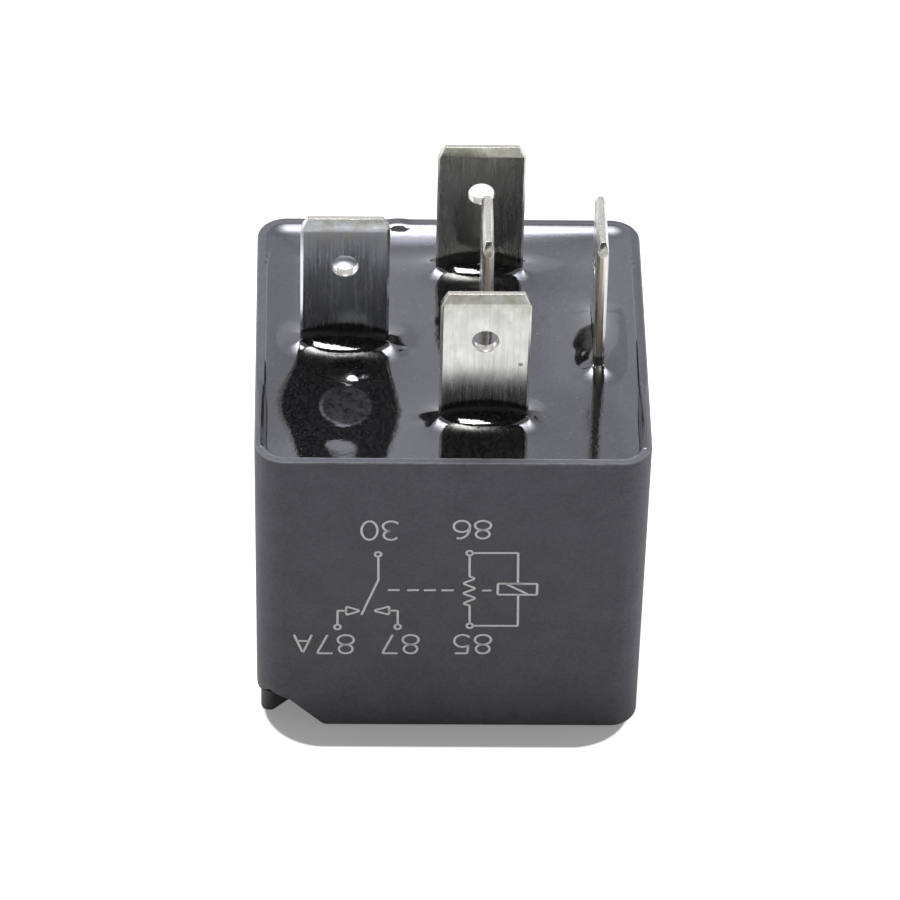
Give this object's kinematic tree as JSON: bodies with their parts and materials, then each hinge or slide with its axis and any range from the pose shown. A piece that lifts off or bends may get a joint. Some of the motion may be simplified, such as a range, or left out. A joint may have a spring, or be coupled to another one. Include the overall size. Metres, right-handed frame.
{
  "type": "automotive changeover relay",
  "caption": "Sealed cube-shaped plug-in relay with flat blade terminals, a resin-potted open end and a hinged armature that moves a changeover contact.",
  "frame": {"origin": "centre of the closed end's outer face, on which the relay stands", "axes": "+Z from the closed end to the blade tips, -Y the printed front, +X towards blade 87"},
  "size_m": [0.0278, 0.0278, 0.0358],
  "materials": {
    "case_plastic": "fine-grained black moulding",
    "base_plastic": "moulded",
    "resin": "glossy cast resin",
    "tinned_brass": "tin plated",
    "bobbin_plastic": "moulded",
    "enamelled_copper": "enamelled wire",
    "soft_iron": "nickel plated",
    "plated_iron": "zinc plated",
    "spring_bronze": "rolled strip",
    "contact_silver": "fine silver alloy",
    "rivet_steel": "plain",
    "resistor_body": "lacquered",
    "tinned_wire": "tinned",
    "solder": "reflowed"
  },
  "bodies": {
    "relay": {"cover": "case_plastic", "base": "base_plastic", "potting": "resin", "terminal_30": "tinned_brass", "terminal_85": "tinned_brass", "terminal_86": "tinned_brass", "terminal_87": "tinned_brass", "terminal_87a": "tinned_brass", "bobbin": "bobbin_plastic", "winding": "enamelled_copper", "core": "soft_iron", "yoke": "plated_iron", "contact_no": "contact_silver", "contact_nc": "contact_silver", "yoke_rivet_front": "rivet_steel", "yoke_rivet_back": "rivet_steel", "resistor": "resistor_body", "resistor_lead_85": "tinned_wire", "resistor_lead_86": "tinned_wire", "coil_lead_85": "enamelled_copper", "coil_lead_86": "enamelled_copper", "solder_85": "solder", "solder_86": "solder"},
    "armature_unit": {"armature": "plated_iron", "contact_spring": "spring_bronze", "moving_contact": "contact_silver", "armature_rivet_front": "rivet_steel", "armature_rivet_back": "rivet_steel"}
  },
  "joints": [
    {"name": "armature_pivot", "type": "hinge", "parent": "relay", "child": "armature_unit", "pos_m": [-0.0101, 0, 0.00554], "axis": [0, -1, 0], "range_deg": [0, 1.7], "stiffness_Nm_per_rad": 0.05, "springref_deg": -5.73, "deforming": ["contact_spring"]}
  ]
}
